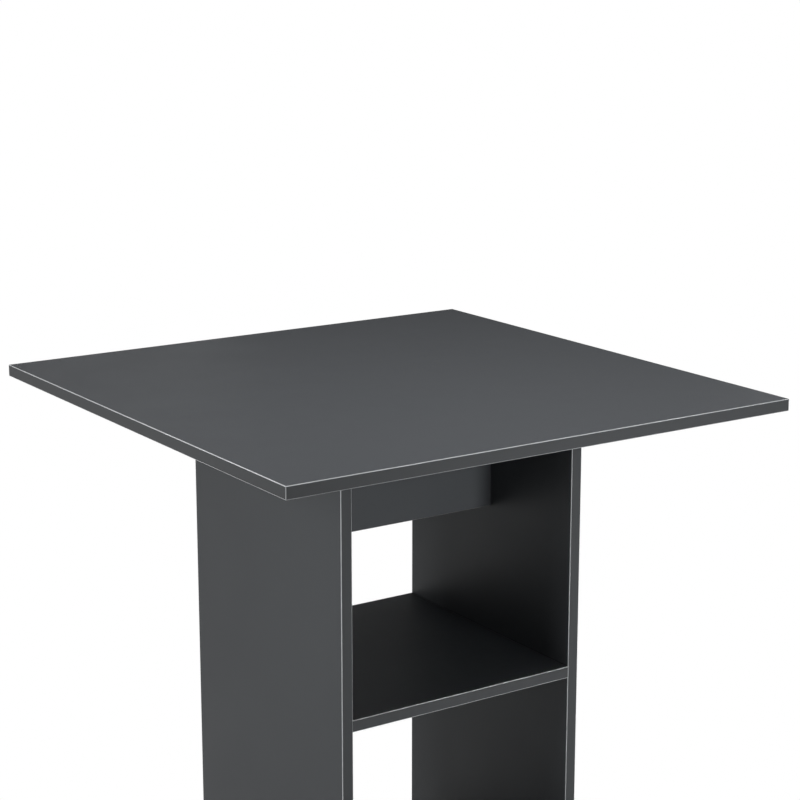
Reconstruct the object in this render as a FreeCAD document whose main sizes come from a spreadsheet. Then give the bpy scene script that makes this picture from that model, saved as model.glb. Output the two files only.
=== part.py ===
import FreeCAD
import Part
import os
import re
import Sketcher

# A square bar table on an open shelf column, sold flat and put together with cam fittings.
# Every board is melamine-faced chipboard with plastic edge bands on the edges that show.
# Two side boards carry the top. Two shelves and a bottom board join them, and one upright rail
# stands across the middle of the column under the top, so the column stays open front and back.
# Each joint is a hidden cam fitting beside a beech dowel: the bolt screws into one board, its head
# enters a zinc cam in the other, and the cam's off-centre chamber pulls the two boards together.
# The frame has +X to the right, +Y to the back and +Z up. Its origin is on the floor, under the
# middle of the top.

# Driving dimensions, in millimetres. A share has no unit.
SIZES = {
    # The whole table
    "table_height": 1100.0,
    "top_width": 700.0,
    "top_depth": 700.0,
    "column_width": 350.0,
    "column_depth": 350.0,
    # Boards
    "top_thickness": 15.0,
    "side_thickness": 15.0,
    "shelf_thickness": 15.0,
    "rail_thickness": 15.0,
    "rail_height": 170.0,
    "upper_opening": 340.0,
    "bottom_clearance": 20.0,
    # Edge bands
    "band_thickness": 1.0,
    "band_radius": 0.9,
    "band_radius_top_share": 0.95,
    # Rows of fittings
    "cam_inset": 37.0,
    "dowel_step": 32.0,
    "rail_cam_inset": 37.0,
    "rail_dowel_inset": 64.0,
    "glide_inset": 45.0,
    # Cam
    "cam_backset": 34.0,
    "cam_diameter": 14.8,
    "cam_play": 0.1,
    "cam_sink": 0.1,
    "cam_lid": 1.1,
    "cam_floor_gap": 0.3,
    "cam_chamber_diameter": 10.0,
    "cam_chamber_offset": 2.0,
    "cam_head_play": 0.25,
    "cam_neck_play": 0.2,
    "cam_driver_length": 6.4,
    "cam_driver_width": 1.3,
    "cam_driver_web": 1.3,
    # Bolt
    "bolt_bore_play": 0.2,
    "bolt_thread_diameter": 6.0,
    "bolt_thread_length": 10.0,
    "bolt_thread_play": 0.05,
    "bolt_tip_gap": 1.0,
    "bolt_tip_chamfer": 1.0,
    "bolt_collar_diameter": 7.6,
    "bolt_collar_thickness": 1.5,
    "bolt_shank_diameter": 6.0,
    "bolt_shank_gap": 0.5,
    "bolt_neck_diameter": 3.8,
    "bolt_head_diameter": 6.5,
    "bolt_head_length": 3.2,
    "bolt_head_chamfer": 0.8,
    "bolt_slot_width": 1.2,
    "bolt_slot_depth": 1.3,
    # Dowel
    "dowel_diameter": 8.0,
    "dowel_length": 30.0,
    "dowel_in_face": 10.0,
    "dowel_play": 0.05,
    "dowel_end_gap": 0.5,
    "dowel_chamfer": 1.0,
    # Cover cap
    "cap_overlap": 1.0,
    "cap_thickness": 0.8,
    "cap_rim": 0.4,
    "cap_peg_diameter": 3.0,
    "cap_peg_play": 0.2,
    "cap_peg_gap": 0.7,
    # Foot glide and its nail
    "glide_margin": 0.5,
    "glide_height": 5.0,
    "glide_chamfer": 1.2,
    "glide_well_play": 0.5,
    "nail_head_recess": 0.8,
    "nail_diameter": 1.8,
    "nail_head_diameter": 5.4,
    "nail_head_thickness": 1.2,
    "nail_depth": 12.0,
    "nail_point": 2.0,
    "nail_play": 0.05,
    # How far a cut runs past the face that it opens
    "overrun": 1.0,
}

# Places and sizes that follow from the driving dimensions.
PLACES = {
    "top_underside": "table_height - top_thickness",
    "inner_width": "column_width - 2 * side_thickness",
    "half_inner": "inner_width / 2",
    "core_depth": "column_depth - 2 * band_thickness",
    "side_x": "column_width / 2 - side_thickness / 2",
    "side_length": "top_underside - glide_height",
    "half_side": "side_length / 2",
    "side_middle": "glide_height + half_side",
    "upper_shelf_z": "top_underside - upper_opening - shelf_thickness / 2",
    "bottom_z": "bottom_clearance + shelf_thickness / 2",
    "lower_shelf_z": "(upper_shelf_z + bottom_z) / 2",
    "rail_z": "top_underside - rail_height / 2",
    "cam_row": "column_depth / 2 - cam_inset",
    "dowel_row": "cam_row - dowel_step",
    "rail_cam_row": "rail_height / 2 - rail_cam_inset",
    "rail_dowel_row": "half_inner - rail_dowel_inset",
    "glide_row": "column_depth / 2 - glide_inset",
    "cam_bore": "cam_diameter + 2 * cam_play",
    "cam_radius": "cam_diameter / 2",
    "cam_slot_height": "bolt_neck_diameter + 2 * cam_neck_play",
    "cam_chamber_height": "bolt_head_diameter + 2 * cam_head_play",
    "cam_above_bolt": "cam_chamber_height / 2 + cam_lid",
    "driver_above_bolt": "-cam_chamber_height / 2 - cam_driver_web",
    "driver_eye": "cap_peg_diameter + 2 * cap_peg_play",
    "bolt_bore": "bolt_collar_diameter + 2 * bolt_bore_play",
    "thread_bore": "bolt_thread_diameter + 2 * bolt_thread_play",
    "thread_bore_depth": "bolt_thread_length + bolt_tip_gap",
    "head_reach": "sqrt((cam_chamber_diameter / 2) ^ 2 - (bolt_head_diameter / 2) ^ 2"
                  " + (cam_slot_height / 2) ^ 2) - cam_chamber_offset - cam_play",
    "dowel_bore": "dowel_diameter + 2 * dowel_play",
    "dowel_in_edge": "dowel_length - dowel_in_face",
    "dowel_face_bore_depth": "dowel_in_face + dowel_end_gap",
    "dowel_edge_bore_depth": "dowel_in_edge + dowel_end_gap",
    "cap_radius": "cam_bore / 2 + cap_overlap",
    "glide_radius": "side_thickness / 2 - glide_margin",
    "glide_well_radius": "nail_head_diameter / 2 + glide_well_play",
    "glide_well_depth": "nail_head_recess + nail_head_thickness",
    "nail_bore": "nail_diameter + 2 * nail_play",
    "band_rounding": "min(band_radius; band_thickness * band_radius_top_share)",
}

doc = FreeCAD.newDocument("bar_table")
nodes = []

X_AXIS = FreeCAD.Vector(1, 0, 0)
Y_AXIS = FreeCAD.Vector(0, 1, 0)
Z_AXIS = FreeCAD.Vector(0, 0, 1)
ORIGIN = FreeCAD.Vector(0, 0, 0)
FULL_TURN = 360.0
# A first size for sketch geometry, which the solver replaces by the driving dimensions.
FIRST_GUESS = 1.0


def formula(text):
    """The text as an expression in which each size and place is named with its sheet."""

    def with_sheet(match):
        word = match.group(0)
        if word in SIZES:
            return "Sizes." + word
        if word in PLACES:
            return "Places." + word
        return word

    return re.sub(r"[a-z][a-z_]*", with_sheet, text)


def make_sheet(name, cells):
    """A spreadsheet with one alias a row, its name in column A and its content in column B."""
    sheet = doc.addObject("Spreadsheet::Sheet", name)
    for row, (alias, content) in enumerate(cells.items(), start=1):
        sheet.set(f"A{row}", alias)
        sheet.set(f"B{row}", content)
        sheet.setAlias(f"B{row}", alias)


def bind(item, name, text):
    """Ties a property of an object to the sizes."""
    item.setExpression(name, formula(text))


def origin_part(body, role):
    """The plane or axis of a body's own origin that has this role."""
    for feature in body.Origin.OriginFeatures:
        if feature.Role == role:
            return (feature, [""])
    raise ValueError(f"{body.Label} has no origin feature {role}")


def turned(x_axis, y_axis):
    """The rotation that takes a piece's own X and Y axes to these directions."""
    return FreeCAD.Rotation(x_axis, y_axis, x_axis.cross(y_axis), "XYZ")


def new_body(name, rotation=None, at=("0", "0", "0"), several=False):
    """An empty body that becomes one node, turned and set at a place given by three formulas."""
    body = doc.addObject("PartDesign::Body", name)
    body.Label = name
    body.AllowCompound = several
    body.Placement = FreeCAD.Placement(ORIGIN, rotation or FreeCAD.Rotation())
    for axis, text in zip("xyz", at):
        if text != "0":
            bind(body, "Placement.Base." + axis, text)
    nodes.append(body)
    return body


def new_sketch(body, name, role="XY_Plane", at=("0", "0", "0")):
    """A sketch on one of the body's origin planes, moved in that plane's own axes."""
    sketch = body.newObject("Sketcher::SketchObject", f"{body.Label}_{name}")
    sketch.AttachmentSupport = origin_part(body, role)
    sketch.MapMode = "FlatFace"
    for axis, text in zip("xyz", at):
        if text != "0":
            bind(sketch, "AttachmentOffset.Base." + axis, text)
    return sketch


def side_of(text):
    """The side of the origin that a coordinate lies on, and its distance. A leading minus sign
    holds for all that follows it."""
    if text.startswith("-"):
        return -1, text[1:]
    return 1, text


def hold(sketch, curve, point, x, y, guess):
    """Ties a point of a curve to the sketch's origin. A coordinate of "0" puts it on that axis."""
    for kind, axis, text, start in (("DistanceX", -2, x, guess[0]), ("DistanceY", -1, y, guess[1])):
        if text == "0":
            sketch.addConstraint(Sketcher.Constraint("PointOnObject", curve, point, axis))
            continue
        side, distance = side_of(text)
        ends = (-1, 1, curve, point) if side > 0 else (curve, point, -1, 1)
        number = sketch.addConstraint(Sketcher.Constraint(kind, *ends, abs(start)))
        sketch.setExpression(f"Constraints[{number}]", formula(distance))


def guess_at(x, y, index):
    """A rough place on the right side of both axes, different for each point."""
    step = (index + 1) * FIRST_GUESS
    spread = [0.0 if text == "0" else side_of(text)[0] * step for text in (x, y)]
    return FreeCAD.Vector(spread[0], spread[1], 0)


def add_circle(sketch, x, y, diameter):
    """A circle whose centre and diameter follow the sizes."""
    centre = guess_at(x, y, len(sketch.Geometry))
    curve = sketch.addGeometry(Part.Circle(centre, Z_AXIS, FIRST_GUESS))
    hold(sketch, curve, 3, x, y, centre)
    number = sketch.addConstraint(Sketcher.Constraint("Diameter", curve, FIRST_GUESS))
    sketch.setExpression(f"Constraints[{number}]", formula(diameter))


def add_outline(sketch, points):
    """A closed outline of straight lines through points given as pairs of formulas."""
    guesses = [guess_at(x, y, index) for index, (x, y) in enumerate(points)]
    first = len(sketch.Geometry)
    count = len(points)
    for index in range(count):
        sketch.addGeometry(Part.LineSegment(guesses[index], guesses[(index + 1) % count]))
    for index in range(count):
        following = first + (index + 1) % count
        sketch.addConstraint(Sketcher.Constraint("Coincident", first + index, 2, following, 1))
    for index, (x, y) in enumerate(points):
        hold(sketch, first + index, 1, x, y, guesses[index])


def rectangle(left, right, below, above):
    """The four corners of a rectangle, each side given by its coordinate."""
    return [(left, below), (right, below), (right, above), (left, above)]


def centred(width, depth):
    """The four corners of a rectangle about the origin."""
    half_width = f"({width}) / 2"
    half_depth = f"({depth}) / 2"
    return rectangle("-" + half_width, half_width, "-" + half_depth, half_depth)


def feature(body, kind, name, sketch=None):
    """A new feature of the body, with its sketch as the profile."""
    made = body.newObject("PartDesign::" + kind, f"{body.Label}_{name}")
    if sketch:
        made.Profile = sketch
    return made


def pad(body, sketch, length, both_sides=False):
    """Adds the sketch's outline, upwards or half to each side of it."""
    made = feature(body, "Pad", "pad", sketch)
    made.Midplane = both_sides
    bind(made, "Length", length)
    return made


def cut(body, name, sketch, depth, along_normal=False, both_sides=False):
    """Cuts the sketch's outline out, against or along the sketch's normal, and proves that it cut."""
    doc.recompute()
    before = body.Shape.Volume
    made = feature(body, "Pocket", name, sketch)
    made.Reversed = along_normal
    made.Midplane = both_sides
    bind(made, "Length", depth)
    doc.recompute()
    if not body.Shape.Volume < before:
        raise ValueError(f"{made.Label} cuts nothing")
    return made


def mirror(body, cuts, *roles):
    """Repeats cuts on the other side of one or two of the body's origin planes."""
    made = feature(body, "MultiTransform", "mirrors")
    made.Originals = cuts
    planes = []
    for role in roles:
        plane = feature(body, "Mirrored", "mirror")
        plane.MirrorPlane = origin_part(body, role)
        planes.append(plane)
    made.Transformations = planes
    body.Tip = made


def turn_profile(body, name, points, role, at, axis):
    """A turned solid: an outline in one of the origin planes, revolved about an axis of the sketch."""
    sketch = new_sketch(body, name, role, at)
    add_outline(sketch, points)
    made = feature(body, "Revolution", name + "_turned", sketch)
    made.ReferenceAxis = (sketch, [axis])
    made.Angle = FULL_TURN


def at_both_ends(body):
    """Repeats the body's whole shape half a turn about its own Z axis."""
    turn = feature(body, "PolarPattern", "both_ends")
    turn.TransformMode = "Whole shape"
    turn.Axis = origin_part(body, "Z_Axis")
    turn.Angle = FULL_TURN
    turn.Occurrences = 2
    body.Tip = turn
    doc.recompute()


def repeat(body, rows, both_ends):
    """Repeats the first piece across the board at twice a row's distance, and at both ends."""
    doc.recompute()
    across = feature(body, "LinearPattern", "across")
    across.TransformMode = "Whole shape"
    across.Direction = origin_part(body, "Y_Axis")
    bind(across, "Length", f"2 * {rows}")
    across.Occurrences = 2
    body.Tip = across
    doc.recompute()
    if both_ends:
        at_both_ends(body)


def cam_drillings(body, thickness, reach, rows):
    """A cam bore in the board's lower face, and the bolt bore that meets it from the board's end."""
    cams = new_sketch(body, "cam_bores", at=("0", "0", f"-({thickness} / 2)"))
    add_circle(cams, f"{reach} - cam_backset", rows, "cam_bore")
    depth = f"{thickness} / 2 + cam_above_bolt + cam_floor_gap"
    cam_bore = cut(body, "cam_bore", cams, depth, along_normal=True)
    bolts = new_sketch(body, "bolt_bores", "YZ_Plane", ("0", "0", reach))
    add_circle(bolts, rows, "0", "bolt_bore")
    return [cam_bore, cut(body, "bolt_bore", bolts, "cam_backset")]


def end_drillings(body, thickness, reach, rows, mirrors, dowels):
    """Cam bores in the lower face near a board's end, and the bolt and dowel bores in that end."""
    made = cam_drillings(body, thickness, reach, rows)
    pegs = new_sketch(body, "dowel_bores", "YZ_Plane", ("0", "0", reach))
    add_circle(pegs, dowels, "0", "dowel_bore")
    made.append(cut(body, "dowel_bore", pegs, "dowel_edge_bore_depth"))
    mirror(body, made, *mirrors)


def make_shelf(name, height):
    """A shelf or the bottom board, centred on its own origin, with its cams in the underside."""
    body = new_body(name, at=("0", "0", height))
    outline = new_sketch(body, "outline")
    add_outline(outline, centred("inner_width", "core_depth"))
    pad(body, outline, "shelf_thickness", both_sides=True)
    end_drillings(body, "shelf_thickness", "half_inner", "cam_row", ("YZ_Plane", "XZ_Plane"), "dowel_row")


def make_rail(name, rotation):
    """The upright rail. Its own Y runs up the height and its own lower face is the rear one."""
    body = new_body(name, rotation, ("0", "0", "rail_z"))
    outline = new_sketch(body, "outline")
    half = "half_inner"
    foot = "-(rail_height / 2 - band_thickness)"
    add_outline(outline, rectangle("-" + half, half, foot, "rail_height / 2"))
    pad(body, outline, "rail_thickness", both_sides=True)
    middle = new_sketch(body, "end_dowel", "YZ_Plane", ("0", "0", half))
    add_circle(middle, "0", "0", "dowel_bore")
    middle_cut = cut(body, "end_dowel_bore", middle, "dowel_edge_bore_depth")
    upper = new_sketch(body, "upper_edge", "XZ_Plane", ("0", "0", "-(rail_height / 2)"))
    add_circle(upper, "rail_dowel_row", "0", "dowel_bore")
    upper_cut = cut(body, "upper_edge_bore", upper, "dowel_edge_bore_depth", along_normal=True)
    mirror(body, [middle_cut, upper_cut], "YZ_Plane")
    corner_cuts = cam_drillings(body, "rail_thickness", half, "rail_cam_row")
    mirror(body, corner_cuts, "YZ_Plane", "XZ_Plane")


def make_side(name, rotation, x):
    """A side board. Its own X runs up, and its own lower face looks into the column."""
    body = new_body(name, rotation, (x, "0", "side_middle"))
    outline = new_sketch(body, "outline")
    add_outline(outline, centred("side_length", "core_depth"))
    pad(body, outline, "side_thickness", both_sides=True)
    end_drillings(body, "side_thickness", "half_side", "cam_row", ("XZ_Plane",), "dowel_row")
    face = "-(side_thickness / 2)"
    joints = []
    for row in ("upper_shelf_z", "lower_shelf_z", "bottom_z"):
        at = (f"{row} - side_middle", "0", face)
        bolts = new_sketch(body, row + "_bolt", at=at)
        add_circle(bolts, "0", "cam_row", "thread_bore")
        joints.append(cut(body, row + "_bolt_bore", bolts, "thread_bore_depth", along_normal=True))
        pegs = new_sketch(body, row + "_dowel", at=at)
        add_circle(pegs, "0", "dowel_row", "dowel_bore")
        joints.append(cut(body, row + "_dowel_bore", pegs, "dowel_face_bore_depth", along_normal=True))
    nails = new_sketch(body, "nails", "YZ_Plane", ("0", "0", "-half_side"))
    add_circle(nails, "glide_row", "0", "nail_bore")
    joints.append(cut(body, "nail_bore", nails, "nail_depth + nail_play", along_normal=True))
    mirror(body, joints, "XZ_Plane")
    rail_at = ("rail_z - side_middle", "0", face)
    rail_bolts = new_sketch(body, "rail_bolts", at=rail_at)
    add_circle(rail_bolts, "rail_cam_row", "0", "thread_bore")
    add_circle(rail_bolts, "-rail_cam_row", "0", "thread_bore")
    cut(body, "rail_bolt_bores", rail_bolts, "thread_bore_depth", along_normal=True)
    rail_dowel = new_sketch(body, "rail_dowel", at=rail_at)
    add_circle(rail_dowel, "0", "0", "dowel_bore")
    cut(body, "rail_dowel_bore", rail_dowel, "dowel_face_bore_depth", along_normal=True)


def make_top():
    """The top board inside its edge bands, drilled from below for the bolts and dowels."""
    body = new_body("table_top", at=("0", "0", "top_underside + top_thickness / 2"))
    outline = new_sketch(body, "outline")
    add_outline(outline, centred("top_width - 2 * band_thickness", "top_depth - 2 * band_thickness"))
    pad(body, outline, "top_thickness", both_sides=True)
    face = ("0", "0", "-(top_thickness / 2)")
    bolts = new_sketch(body, "bolts", at=face)
    add_circle(bolts, "side_x", "cam_row", "thread_bore")
    pegs = new_sketch(body, "dowels", at=face)
    add_circle(pegs, "side_x", "dowel_row", "dowel_bore")
    corner_cuts = [
        cut(body, "bolt_bore", bolts, "thread_bore_depth", along_normal=True),
        cut(body, "dowel_bore", pegs, "dowel_face_bore_depth", along_normal=True),
    ]
    mirror(body, corner_cuts, "YZ_Plane", "XZ_Plane")
    rail_pegs = new_sketch(body, "rail_dowels", at=face)
    add_circle(rail_pegs, "rail_dowel_row", "0", "dowel_bore")
    add_circle(rail_pegs, "-rail_dowel_row", "0", "dowel_bore")
    cut(body, "rail_dowel_bores", rail_pegs, "dowel_face_bore_depth", along_normal=True)


def make_band(name, rotation, at, length, width, round_ends=False):
    """An edge band. Its own X runs along it, +Y is outwards and its inner face lies at Y = 0."""
    body = new_body(name, rotation, at)
    outline = new_sketch(body, "outline")
    half = f"({length}) / 2"
    add_outline(outline, rectangle("-" + half, half, "0", "band_thickness"))
    strip = pad(body, outline, width, both_sides=True)
    doc.recompute()
    chosen = []
    for number, edge in enumerate(strip.Shape.Edges, start=1):
        outside = [vertex.Y > strip.Shape.BoundBox.YMax / 2 for vertex in edge.Vertexes]
        box = edge.BoundBox
        is_long = box.XLength > max(box.YLength, box.ZLength)
        if (round_ends and any(outside)) or (all(outside) and is_long):
            chosen.append(f"Edge{number}")
    rounded = feature(body, "Fillet", "rounding")
    rounded.Base = (strip, chosen)
    bind(rounded, "Radius", "band_rounding")


def make_cams(name, rotation, at, thickness, reach, rows, both_ends):
    """Zinc cams, shown locked: an off-centre chamber behind two rims that hold the bolt's head."""
    body = new_body(name, rotation, at, several=True)
    x = f"{reach} - cam_backset"
    y = f"-({rows})"
    outer = new_sketch(body, "outer", at=(x, y, f"cam_sink - {thickness} / 2"))
    add_circle(outer, "0", "0", "cam_diameter")
    pad(body, outer, f"{thickness} / 2 - cam_sink + cam_above_bolt")
    axis_plane = (x, y, "0")
    chamber = new_sketch(body, "chamber", at=axis_plane)
    add_circle(chamber, "-cam_chamber_offset", "0", "cam_chamber_diameter")
    cut(body, "chamber_cut", chamber, "cam_chamber_height", both_sides=True)
    past_wall = "(cam_radius + overrun)"
    clear_of_head = "(cam_chamber_height / 2)"
    slot = new_sketch(body, "neck_slot", at=axis_plane)
    add_outline(slot, rectangle("-" + past_wall, past_wall, "-" + past_wall, clear_of_head))
    cut(body, "neck_slot_cut", slot, "cam_slot_height", both_sides=True)
    entry = new_sketch(body, "head_entry", at=axis_plane)
    add_outline(entry, rectangle("-" + past_wall, "-cam_chamber_offset", "-" + clear_of_head, clear_of_head))
    cut(body, "head_entry_cut", entry, "cam_chamber_height", both_sides=True)
    face = (x, y, f"-({thickness} / 2)")
    depth = f"{thickness} / 2 + driver_above_bolt"
    for name_of_slot, length, width in (
        ("driver_along", "cam_driver_length", "cam_driver_width"),
        ("driver_across", "cam_driver_width", "cam_driver_length"),
    ):
        driver = new_sketch(body, name_of_slot, at=face)
        add_outline(driver, centred(length, width))
        cut(body, name_of_slot + "_cut", driver, depth, along_normal=True)
    eye = new_sketch(body, "driver_eye", at=face)
    add_circle(eye, "0", "0", "driver_eye")
    cut(body, "driver_eye_cut", eye, depth, along_normal=True)
    repeat(body, rows, both_ends)


def make_bolts(name, rotation, at, reach, rows, both_ends):
    """Cam bolts. The collar rests on the board that holds the thread, and the head is in the cam."""
    body = new_body(name, rotation, at, several=True)
    head_back = "-(cam_backset - head_reach)"
    head_nose = "-(cam_backset - head_reach + bolt_head_length)"
    nose_chamfer = "-(cam_backset - head_reach + bolt_head_length - bolt_head_chamfer)"
    neck_end = "-(cam_backset - cam_radius - bolt_shank_gap)"
    collar_back = "-bolt_collar_thickness"
    tip_chamfer = "bolt_thread_length - bolt_tip_chamfer"
    points = [
        (head_nose, "0"),
        ("bolt_thread_length", "0"),
        ("bolt_thread_length", "bolt_thread_diameter / 2 - bolt_tip_chamfer"),
        (tip_chamfer, "bolt_thread_diameter / 2"),
        ("0", "bolt_thread_diameter / 2"),
        ("0", "bolt_collar_diameter / 2"),
        (collar_back, "bolt_collar_diameter / 2"),
        (collar_back, "bolt_shank_diameter / 2"),
        (neck_end, "bolt_shank_diameter / 2"),
        (neck_end, "bolt_neck_diameter / 2"),
        (head_back, "bolt_neck_diameter / 2"),
        (head_back, "bolt_head_diameter / 2"),
        (nose_chamfer, "bolt_head_diameter / 2"),
        (head_nose, "bolt_head_diameter / 2 - bolt_head_chamfer"),
    ]
    turn_profile(body, "profile", points, "XZ_Plane", (reach, "0", rows), "H_Axis")
    nose = f"{reach} - (cam_backset - head_reach + bolt_head_length)"
    slot = new_sketch(body, "driver_slot", "YZ_Plane", (f"-({rows})", "0", nose))
    add_outline(slot, centred("bolt_head_diameter + 2 * overrun", "bolt_slot_width"))
    cut(body, "driver_slot_cut", slot, "bolt_slot_depth", along_normal=True)
    repeat(body, rows, both_ends)


def make_dowels(name, rotation, at, reach, rows, both_ends):
    """Beech dowels across a joint, with a chamfer at each end. Rows of "0" put one on the axis."""
    body = new_body(name, rotation, at, several=True)
    radius = "dowel_diameter / 2"
    points = [
        ("-dowel_in_edge", "0"),
        ("dowel_in_face", "0"),
        ("dowel_in_face", radius + " - dowel_chamfer"),
        ("dowel_in_face - dowel_chamfer", radius),
        ("-(dowel_in_edge - dowel_chamfer)", radius),
        ("-dowel_in_edge", radius + " - dowel_chamfer"),
    ]
    turn_profile(body, "profile", points, "XZ_Plane", (reach, "0", rows), "H_Axis")
    if rows == "0":
        at_both_ends(body)
    else:
        repeat(body, rows, both_ends)


def make_caps(name, rotation, at, thickness, reach, rows, both_ends):
    """Cover caps over the cams: a thin disc on the board's face, with a peg in the cam's driver."""
    body = new_body(name, rotation, at, several=True)
    peg_length = f"{thickness} / 2 + driver_above_bolt - cap_peg_gap"
    points = [
        ("0", "-cap_thickness"),
        ("cap_radius - cap_rim", "-cap_thickness"),
        ("cap_radius", "-(cap_thickness - cap_rim)"),
        ("cap_radius", "0"),
        ("cap_peg_diameter / 2", "0"),
        ("cap_peg_diameter / 2", peg_length),
        ("0", peg_length),
    ]
    place = (f"{reach} - cam_backset", f"-({thickness} / 2)", rows)
    turn_profile(body, "profile", points, "XZ_Plane", place, "V_Axis")
    repeat(body, rows, both_ends)


def make_glides():
    """Plastic glides nailed under the side boards, and the nails, whose heads stay off the floor."""
    glides = new_body("foot_glides", several=True)
    points = [
        ("glide_well_radius", "0"),
        ("glide_radius - glide_chamfer", "0"),
        ("glide_radius", "glide_chamfer"),
        ("glide_radius", "glide_height"),
        ("nail_bore / 2", "glide_height"),
        ("nail_bore / 2", "glide_well_depth"),
        ("glide_well_radius", "glide_well_depth"),
    ]
    turn_profile(glides, "profile", points, "XZ_Plane", ("side_x", "0", "glide_row"), "V_Axis")
    repeat(glides, "glide_row", both_ends=True)
    nails = new_body("glide_nails", several=True)
    radius = "nail_diameter / 2"
    tip = "glide_height + nail_depth"
    points = [
        ("0", "nail_head_recess"),
        ("nail_head_diameter / 2", "nail_head_recess"),
        ("nail_head_diameter / 2", "glide_well_depth"),
        (radius, "glide_well_depth"),
        (radius, tip + " - nail_point"),
        ("0", tip),
    ]
    turn_profile(nails, "profile", points, "XZ_Plane", ("side_x", "0", "glide_row"), "V_Axis")
    repeat(nails, "glide_row", both_ends=True)


def make_joint(name, rotation, at, thickness, reach, rows, dowels, both_ends):
    """All the fittings at the end or ends of one board, in that board's own frame."""
    make_cams(name + "_cams", rotation, at, thickness, reach, rows, both_ends)
    make_bolts(name + "_bolts", rotation, at, reach, rows, both_ends)
    make_dowels(name + "_dowels", rotation, at, reach, dowels, both_ends)
    make_caps(name + "_cam_caps", rotation, at, thickness, reach, rows, both_ends)


def make_shelf_bands(name, height):
    """The front and back bands of a shelf or the bottom board."""
    length = "inner_width"
    width = "shelf_thickness"
    front = turned(-X_AXIS, -Y_AXIS)
    make_band(name + "_band_front", front, ("0", "-core_depth / 2", height), length, width)
    make_band(name + "_band_back", None, ("0", "core_depth / 2", height), length, width)


def make_side_bands(name, x):
    """The front and back bands of a side board, standing upright."""
    length = "side_length"
    width = "side_thickness"
    front = turned(Z_AXIS, -Y_AXIS)
    back = turned(Z_AXIS, Y_AXIS)
    make_band(name + "_band_front", front, (x, "-core_depth / 2", "side_middle"), length, width)
    make_band(name + "_band_back", back, (x, "core_depth / 2", "side_middle"), length, width)


def make_top_bands():
    """The top's four bands. Front and back run its whole width, left and right lie between them."""
    middle = "top_underside + top_thickness / 2"
    core_x = "(top_width / 2 - band_thickness)"
    core_y = "(top_depth / 2 - band_thickness)"
    width = "top_thickness"
    front = turned(-X_AXIS, -Y_AXIS)
    make_band("top_band_front", front, ("0", "-" + core_y, middle), "top_width", width, round_ends=True)
    make_band("top_band_back", None, ("0", core_y, middle), "top_width", width, round_ends=True)
    length = "top_depth - 2 * band_thickness"
    make_band("top_band_left", turned(Y_AXIS, -X_AXIS), ("-" + core_x, "0", middle), length, width)
    make_band("top_band_right", turned(-Y_AXIS, X_AXIS), (core_x, "0", middle), length, width)


def check_document():
    """Stops the build if any object failed, or a node's shape is empty or not valid."""
    doc.recompute()
    for item in doc.Objects:
        if "Invalid" in item.State or "Error" in item.State:
            raise ValueError(f"{item.Label} failed: {item.State}")
    for body in nodes:
        if body.Shape.isNull() or not body.Shape.isValid():
            raise ValueError(f"{body.Label} has no valid shape")


def export():
    """Writes each node's shape to a file of its own and prints what it holds."""
    os.makedirs("parts", exist_ok=True)
    for body in nodes:
        body.Shape.exportStep(f"parts/{body.Label}.step")
        print(body.Label, len(body.Shape.Solids), "solids", round(body.Shape.Volume), "mm3")


make_sheet("Sizes", {name: str(value) for name, value in SIZES.items()})
make_sheet("Places", {name: "=" + formula(text) for name, text in PLACES.items()})
doc.recompute()

left_side = turned(Z_AXIS, Y_AXIS)
right_side = turned(Z_AXIS, -Y_AXIS)
rail_frame = turned(X_AXIS, Z_AXIS)

make_top()
make_top_bands()
make_side("side_left", left_side, "-side_x")
make_side("side_right", right_side, "side_x")
make_side_bands("side_left", "-side_x")
make_side_bands("side_right", "side_x")
make_joint("side_left", left_side, ("-side_x", "0", "side_middle"),
           "side_thickness", "half_side", "cam_row", "dowel_row", both_ends=False)
make_joint("side_right", right_side, ("side_x", "0", "side_middle"),
           "side_thickness", "half_side", "cam_row", "dowel_row", both_ends=False)
for shelf, shelf_height in (
    ("upper_shelf", "upper_shelf_z"),
    ("lower_shelf", "lower_shelf_z"),
    ("bottom_board", "bottom_z"),
):
    make_shelf(shelf, shelf_height)
    make_shelf_bands(shelf, shelf_height)
    make_joint(shelf, None, ("0", "0", shelf_height),
               "shelf_thickness", "half_inner", "cam_row", "dowel_row", both_ends=True)
make_rail("rail", rail_frame)
make_band("rail_band_bottom", turned(X_AXIS, -Z_AXIS),
          ("0", "0", "rail_z - (rail_height / 2 - band_thickness)"), "inner_width", "rail_thickness")
make_joint("rail", rail_frame, ("0", "0", "rail_z"),
           "rail_thickness", "half_inner", "rail_cam_row", "0", both_ends=True)
make_dowels("rail_top_dowels", turned(Z_AXIS, X_AXIS), ("0", "0", "top_underside"),
            "0", "rail_dowel_row", both_ends=False)
make_glides()

check_document()
export()
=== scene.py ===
"""A square bar table on an open shelf column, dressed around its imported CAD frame.

The boards are anthracite melamine-faced chipboard with ABS edge bands. They keep their CAD meshes and get
their finishes here. Bolts, dowels, cover caps, glides and nails are turned again with the thread, flutes,
moulded edges and rings that the CAD solids leave out.
"""

import functools
import itertools
import logging
import math
from collections.abc import Iterable, Mapping
from dataclasses import dataclass
from enum import Enum

import bmesh
import bpy
from mathutils import Matrix, Vector


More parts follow.
